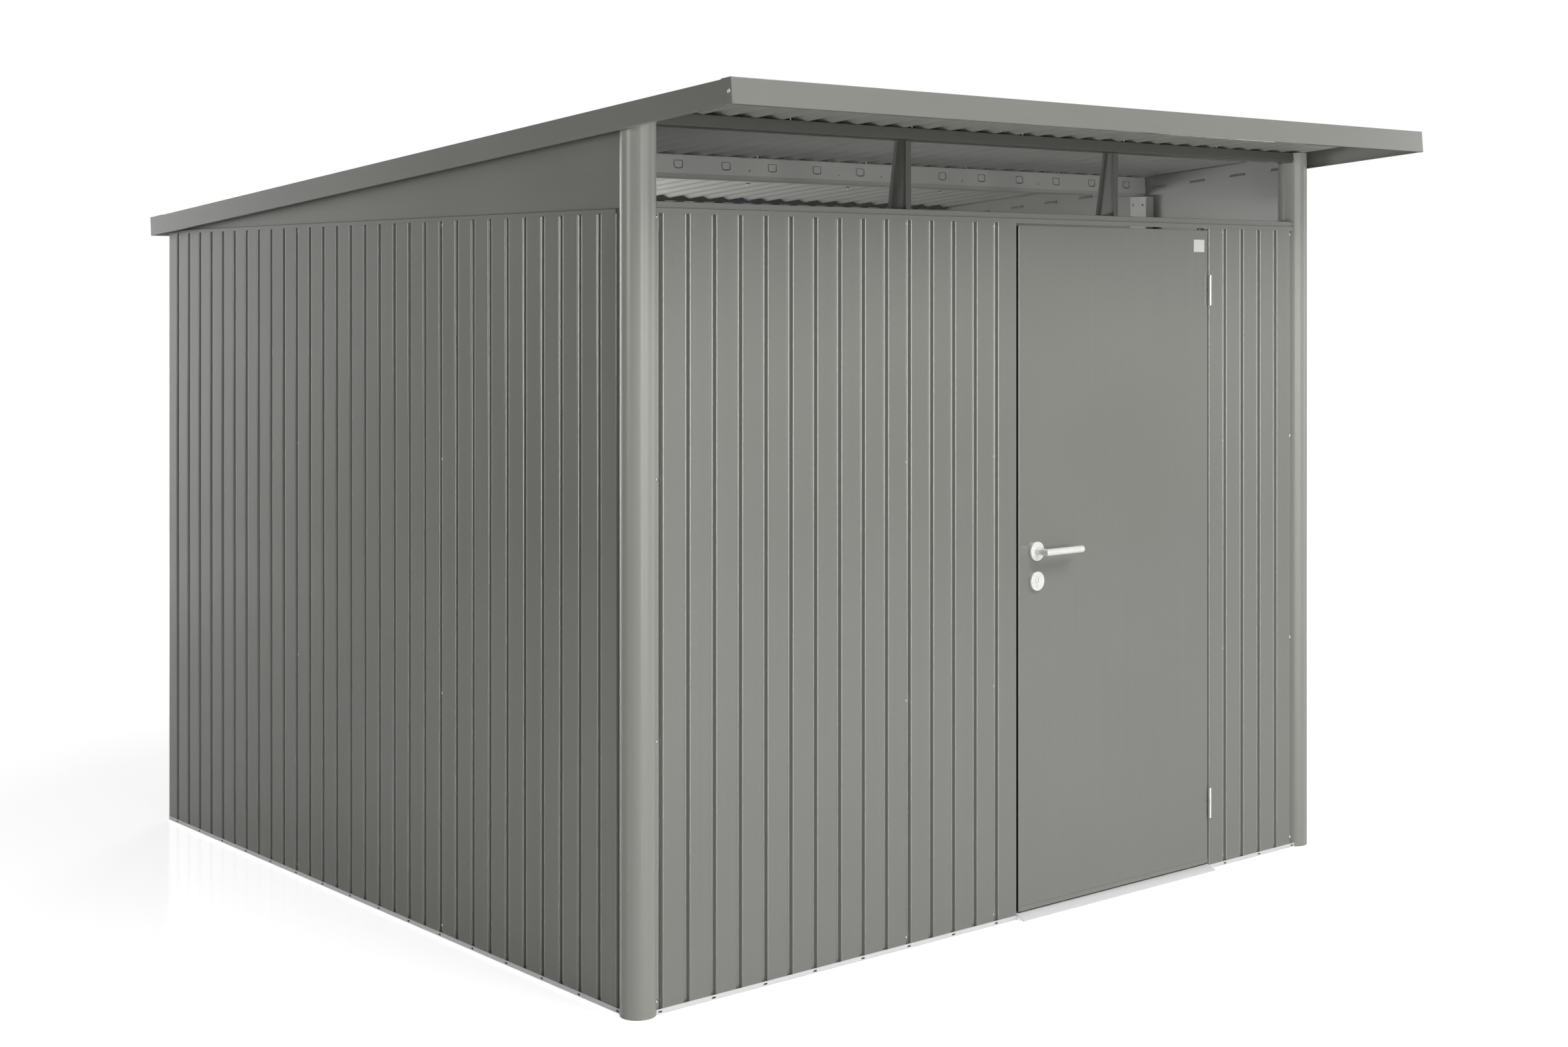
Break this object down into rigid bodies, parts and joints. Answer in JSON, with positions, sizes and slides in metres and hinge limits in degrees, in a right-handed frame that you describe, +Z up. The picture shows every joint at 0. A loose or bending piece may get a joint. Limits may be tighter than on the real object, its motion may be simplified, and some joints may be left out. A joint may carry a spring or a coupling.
{
  "type": "metal storage shed",
  "caption": "Walk-in metal storage shed with grooved sheet walls, round front posts, a pent roof over a glazed strip, and one outward door with a lever handle.",
  "frame": {"origin": "on the ground, under the middle of the roof's plan", "axes": "+Z up, +Y from the door wall to the back, +X to the right as seen from the front"},
  "size_m": [2.6, 3.0078, 2.1629],
  "materials": {
    "grey_sheet": "satin metallic grey coating on galvanised sheet",
    "dark_sheet": "satin dark grey coating",
    "pale_sheet": "pale grey coating on galvanised sheet",
    "base_aluminium": "plain mill aluminium",
    "bright_steel": "brushed stainless",
    "clear_pane": "clear acrylic pane",
    "plate_white": "blank pale plate"
  },
  "bodies": {
    "shell": {"base_rail_front": "base_aluminium", "base_rail_left": "base_aluminium", "base_rail_right": "base_aluminium", "base_rail_back": "base_aluminium", "door_sill": "base_aluminium", "front_left_column": "grey_sheet", "front_right_column": "grey_sheet", "back_left_corner": "grey_sheet", "back_right_corner": "grey_sheet", "front_wall_left": "grey_sheet", "front_wall_right": "grey_sheet", "door_jamb_left": "grey_sheet", "door_jamb_right": "grey_sheet", "left_wall": "grey_sheet", "right_wall": "grey_sheet", "back_wall": "grey_sheet", "front_header": "grey_sheet", "left_top_rail": "grey_sheet", "right_top_rail": "grey_sheet", "back_top_rail": "grey_sheet", "left_gable": "grey_sheet", "right_gable": "grey_sheet", "front_beam": "dark_sheet", "rear_beam": "dark_sheet", "purlin_front": "pale_sheet", "purlin_rear": "pale_sheet", "purlin_posts_left": "pale_sheet", "purlin_posts_right": "pale_sheet", "mullions": "dark_sheet", "transom_panes": "clear_pane", "roof_sheets": "pale_sheet", "front_fascia": "grey_sheet", "left_fascia": "grey_sheet", "right_fascia": "grey_sheet", "rear_gutter": "grey_sheet", "hinge_pins": "bright_steel"},
    "door": {"door_leaf": "grey_sheet", "door_caps": "grey_sheet", "door_stiffeners": "grey_sheet", "lock_case": "grey_sheet", "hinge_knuckles": "bright_steel", "handle_roses": "bright_steel", "lock_cylinder": "bright_steel", "door_plate": "plate_white"},
    "lever": {"lever_handle": "bright_steel"}
  },
  "joints": [
    {"name": "door_swing", "type": "hinge", "parent": "shell", "child": "door", "pos_m": [0.8045, -1.1115, 0.946], "axis": [0, 0, 1], "range_deg": [0, 105]},
    {"name": "lever_turn", "type": "hinge", "parent": "door", "child": "lever", "pos_m": [0.073, -1.106, 0.988], "axis": [0, 1, 0], "range_deg": [0, 40], "stiffness_Nm_per_rad": 2, "springref_deg": -28.65}
  ]
}
